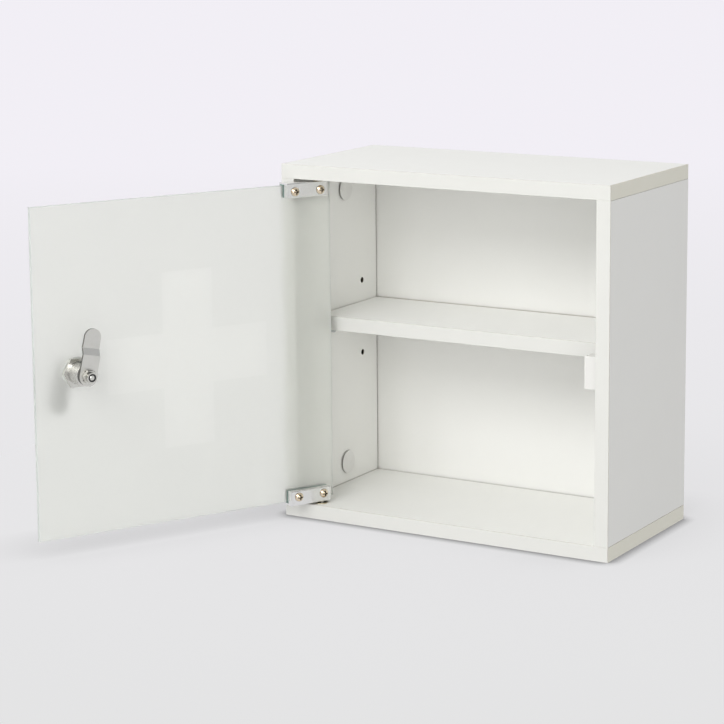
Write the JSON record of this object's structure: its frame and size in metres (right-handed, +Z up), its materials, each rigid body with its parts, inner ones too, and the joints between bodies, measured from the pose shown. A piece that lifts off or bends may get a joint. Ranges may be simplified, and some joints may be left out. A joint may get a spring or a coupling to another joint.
{
  "type": "medicine cabinet",
  "caption": "White wall-hung medicine cabinet: frosted glass door with a plain cross, chrome glass hinges, cam lock with folding key, loose shelf on pins and keyhole hangers behind",
  "frame": {"origin": "middle of the underside of the bottom panel", "axes": "+X to the right of someone facing the door, +Y to the wall, +Z up"},
  "size_m": [0.4143, 0.3636, 0.3],
  "materials": {
    "white_board": "particle board, white melamine coating",
    "back_board": "thin fibre board, white coating",
    "edge_band": "white glued edge band",
    "dowel_wood": "plain beech",
    "steel": "zinc plated",
    "white_plastic": "moulded, satin",
    "brass": "bright turned",
    "frosted_glass": "etched on the inner face",
    "chrome": "bright plated die casting",
    "nickel": "nickel plated, slightly warm",
    "pad_rubber": "soft liner",
    "washer_plastic": "natural plastic",
    "black_plastic": "moulded"
  },
  "bodies": {
    "cabinet": {"bottom_panel": "white_board", "top_panel": "white_board", "left_side_panel": "white_board", "right_side_panel": "white_board", "back_panel": "back_board", "front_edge_bands": "edge_band", "end_edge_bands": "edge_band", "corner_dowels": "dowel_wood", "corner_bolts": "steel", "corner_cams": "steel", "cover_caps": "white_plastic", "shelf_pins": "steel", "keeper_block": "white_plastic", "keeper_screws": "steel", "wall_hangers": "steel", "hanger_screws": "steel", "lower_pivot_bush": "brass", "upper_pivot_bush": "brass"},
    "shelf": {"shelf": "white_board", "shelf_edge_band": "edge_band"},
    "door": {"door_glass": "frosted_glass", "lower_hinge_clamp": "chrome", "upper_hinge_clamp": "chrome", "lower_pivot_pin": "steel", "upper_pivot_pin": "steel", "hinge_pads": "pad_rubber", "hinge_pressure_plates": "steel", "hinge_screws": "nickel", "lock_barrel": "chrome", "lock_outer_washer": "washer_plastic", "lock_inner_washer": "washer_plastic", "lock_nut": "nickel"},
    "lock_plug": {"lock_plug": "nickel", "lock_cam": "nickel", "cam_nut": "nickel", "cam_nut_insert": "black_plastic", "key_blade": "nickel"},
    "key_head": {"key_bow": "black_plastic", "key_pin": "steel"}
  },
  "joints": [
    {"name": "door_swing", "type": "hinge", "parent": "cabinet", "child": "door", "pos_m": [-0.1205, -0.0655, 0], "axis": [0, 0, 1], "range_deg": [0, 118]},
    {"name": "lock_turn", "type": "hinge", "parent": "door", "child": "lock_plug", "pos_m": [-0.22796, -0.25696, 0.15], "axis": [0.8829, -0.4695, 0], "range_deg": [0, 90]},
    {"name": "key_fold", "type": "hinge", "parent": "lock_plug", "child": "key_head", "pos_m": [-0.25074, -0.24485, 0.15], "axis": [0.4592, 0.8637, -0.2079], "range_deg": [0, 90]},
    {"name": "shelf_lift", "type": "slide", "parent": "cabinet", "child": "shelf", "axis": [0, 0, 1], "range_m": [0, 0.09]}
  ]
}
